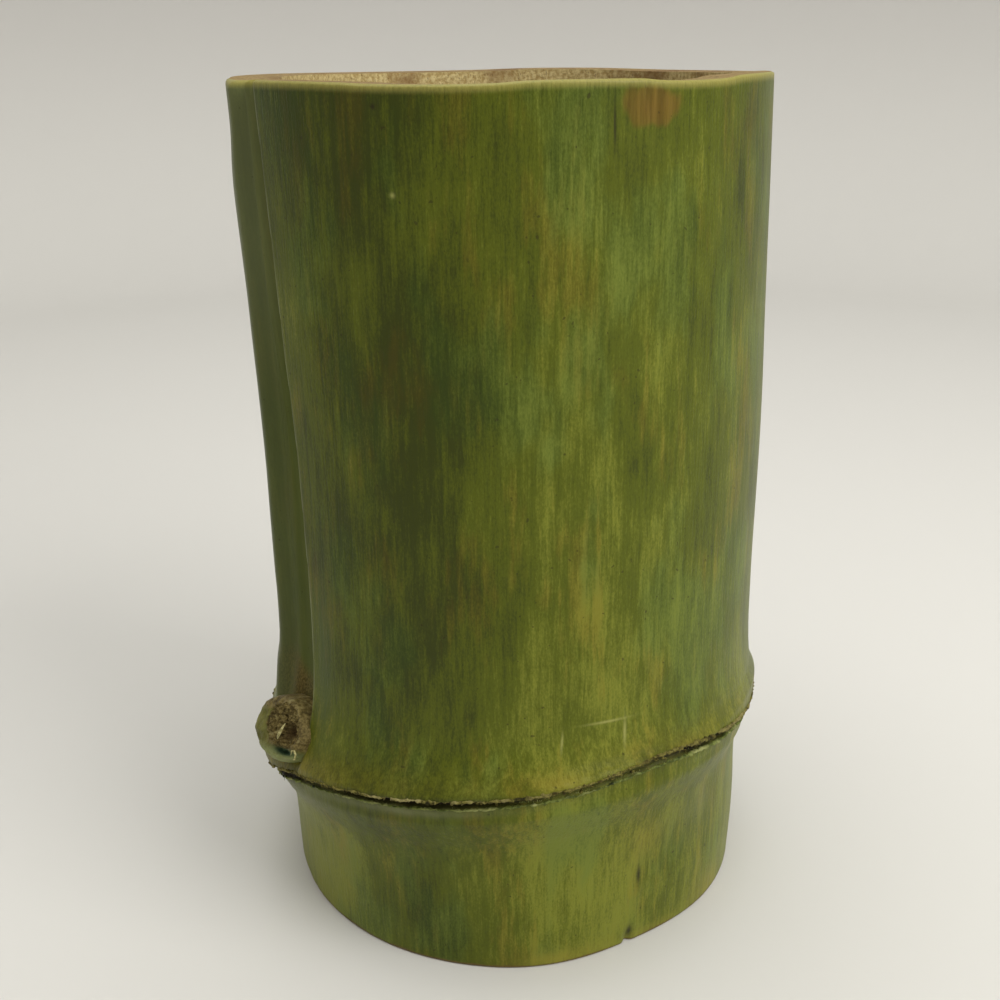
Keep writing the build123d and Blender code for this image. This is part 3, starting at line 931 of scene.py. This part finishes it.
def curl(name, spine, wide, thin, material):
    """A thin curled splinter along a few points, drawn out to nothing at both its ends."""
    steps = 24
    laps = 8
    angles = [2 * pi * lap / laps for lap in range(laps)]
    work = bmesh.new()
    rings = []
    for step in range(steps + 1):
        share = step / steps * (len(spine) - 1)
        first = min(int(share), len(spine) - 2)
        middle = Vector(spine[first]).lerp(Vector(spine[first + 1]), share - first)
        run = (Vector(spine[first + 1]) - Vector(spine[first])).normalized()
        side = run.cross(Vector((0, 0, 1))).normalized()
        fade = sin(pi * (0.02 + 0.96 * step / steps)) ** 0.7
        wall = [
            side * wide * fade * cos(angle) + Vector((0, 0, thin * fade * sin(angle))) for angle in angles
        ]
        rings.append([work.verts.new(middle + reach) for reach in wall])
    for ring, following in zip(rings, rings[1:]):
        for lap in range(laps):
            after = (lap + 1) % laps
            work.faces.new((ring[lap], ring[after], following[after], following[lap]))
    work.faces.new(reversed(rings[0]))
    work.faces.new(rings[-1])
    bmesh.ops.recalc_face_normals(work, faces=work.faces)
    mesh = bpy.data.meshes.new(name)
    work.to_mesh(mesh)
    work.free()
    mesh.materials.append(material)
    made = bpy.data.objects.new(name, mesh)
    scene.collection.objects.link(made)
    return made


# Places along each splinter, across, up and out, and its half width, all in mm
splinters = (
    ("branch_splinter", 0.65, (
        (1.2, -2.2, 0.4), (2.3, -1.4, 1.0), (3.3, -0.2, 1.3), (4.0, 1.4, 1.1), (4.3, 3.0, 0.4),
    )),
    ("branch_ring_splinter", 0.3, (
        (8.6, -5.2, -0.2), (9.2, -3.9, 0.2), (10.6, -3.5, 0.3), (11.5, -4.4, 0.2), (11.2, -5.8, 0.1),
        (10.0, -6.3, -0.2),
    )),
)
for name, wide, places in splinters:
    splinter = curl(name, [Vector(place) * mm for place in places], wide * mm, splinter_thin, splinter_wood)
    splinter.data.transform(branch_frame)
    dress(splinter, "torn_branch")

# Septum: the woody disc that grows across the culm at the node and closes it.
# It is raw and pale, with fibres that cross it every way.
septum_wood, woody, at = new_finish("septum wood")
fibres = noise(stretch(at, 4.0), 420.0, 4.0, 0.65)
clouds = noise(at, 50.0, 3.0, 0.6)
wood = tint(fibres.ease(0.35, 0.65), paint(150, 126, 82), paint(196, 176, 128))
wood = tint(clouds.ease(0.5, 0.72) * 0.6, wood, paint(124, 92, 54))
finish(woody, Base_Color=wood, Roughness=0.8, IOR=1.45, Normal=relief(fibres, 0.4 * mm))
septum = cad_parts["node_septum"]
septum.data.materials.clear()
septum.data.materials.append(septum_wood)

# Liner: a plain clear glass tumbler that stands loose on the septum and holds the water.
# It is pressed glass with a thick base, rounded at its heel and fire-polished at its rim.
glass, clear, at = new_finish("clear glass")
ripple = noise(stretch(at, 0.3), 30.0, 1.0)
bumps = relief(ripple, 0.1 * mm)
pale_green = (0.93, 0.97, 0.95, 1)
finish(clear, Base_Color=pale_green, Roughness=0.02, IOR=1.48, Transmission_Weight=1.0, Normal=bumps)
liner_low, liner_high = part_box("water_liner")
liner_radius = (liner_high.x - liner_low.x) / 2
liner_middle = (liner_high.x + liner_low.x) / 2
liner_wall = 3 * mm
liner_base = 5 * mm
liner_heel = 6 * mm
liner_punt = 0.8 * mm
liner_bend = 5 * mm
liner_steps = 12
bend_steps = 10
liner_columns = 128
foot_ring = liner_radius - liner_heel


def arc(middle_reach, middle_rise, bend, start, end, steps):
    """Points of an outline along an arc, between two angles in degrees."""
    angles = [radians(start + (end - start) * step / steps) for step in range(steps + 1)]
    return [(middle_reach + bend * cos(angle), middle_rise + bend * sin(angle)) for angle in angles]


def turned(name, outline, steps, middle):
    """A shape turned on a lathe from its outline of reach and rise."""
    points = [
        (middle + reach * cos(2 * pi * step / steps), reach * sin(2 * pi * step / steps), rise)
        for reach, rise in outline for step in range(steps)
    ]
    faces = [
        (ring * steps + step, ring * steps + (step + 1) % steps,
         (ring + 1) * steps + (step + 1) % steps, (ring + 1) * steps + step)
        for ring in range(len(outline) - 1) for step in range(steps)
    ]
    mesh = bpy.data.meshes.new(name)
    mesh.from_pydata(points, [], faces)
    work = bmesh.new()
    work.from_mesh(mesh)
    bmesh.ops.remove_doubles(work, verts=work.verts, dist=0.001 * mm)
    work.to_mesh(mesh)
    work.free()
    for face in mesh.polygons:
        face.use_smooth = True
    made = bpy.data.objects.new(name, mesh)
    scene.collection.objects.link(made)
    return made


inner_reach = liner_radius - liner_wall
outline = [(0, liner_low.z + liner_punt), (foot_ring * 0.5, liner_low.z + liner_punt * 0.8)]
outline += [(foot_ring - 2 * mm, liner_low.z + liner_punt * 0.2), (foot_ring - 1 * mm, liner_low.z)]
outline += arc(foot_ring, liner_low.z + liner_heel, liner_heel, -90, 0, liner_steps)
levels = [
    liner_low.z + (liner_high.z - liner_low.z) * step / liner_steps for step in range(1, liner_steps)
]
outline += [(liner_radius, level) for level in levels]
lip_bend = liner_wall / 2
outline += arc(liner_radius - lip_bend, liner_high.z - lip_bend, lip_bend, 0, 180, liner_steps)
outline += [(inner_reach, level) for level in reversed(levels)]
bend_level = liner_low.z + liner_base + liner_bend
outline += [
    (reach, 2 * bend_level - rise)
    for reach, rise in arc(inner_reach - liner_bend, bend_level, liner_bend, 0, 90, bend_steps)
]
outline.append((0, liner_low.z + liner_base))
liner = turned("glass_liner", outline, liner_columns, liner_middle)
liner.data.materials.append(glass)
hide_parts("water_liner")
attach(liner, "liner")

# Table and lamps: a plain pale table that sweeps up to a grey wall all round, lit softly from
# the right and from above.
floor_radius = 0.95
sweep_radius = 0.3
wall_height = 1.7
floor_columns = 96
outline = [(floor_radius + sweep_radius, wall_height)]
outline += arc(floor_radius, sweep_radius, sweep_radius, 0, -90, 12)
outline.append((0, 0))
floor = turned("floor", outline, floor_columns, 0)
pale, pale_tree, at = new_finish("pale floor")
rise = height_of(at)
grey = tint(rise.ease(0.02, 0.5), paint(212, 211, 206), paint(189, 187, 184))
finish(pale_tree, Base_Color=grey, Roughness=0.8, Specular_IOR_Level=0.2)
floor.data.materials.append(pale)

world = bpy.data.worlds.new("room")
scene.world = world
world.use_nodes = True
background = world.node_tree.nodes["Background"]
background.inputs["Color"].default_value = (1.0, 0.99, 0.97, 1)
background.inputs["Strength"].default_value = 1.0
lamp_aim = Vector((0, 0, 0.12))


def hang_lamp(name, place, width, power, colour):
    """A soft square lamp that faces the vase."""
    data = bpy.data.lights.new(name, "AREA")
    data.shape = "SQUARE"
    data.size = width
    data.energy = power
    data.color = colour
    lamp = bpy.data.objects.new(name, data)
    lamp.location = place
    lamp.rotation_mode = "QUATERNION"
    lamp.rotation_quaternion = (lamp_aim - Vector(place)).to_track_quat("-Z", "Y")
    scene.collection.objects.link(lamp)


hang_lamp("window", (0.75, -0.55, 0.85), 0.7, 9.0, (1.0, 0.98, 0.95))
hang_lamp("ceiling", (-0.1, 0.1, 1.3), 1.0, 6.0, (1.0, 0.99, 0.97))
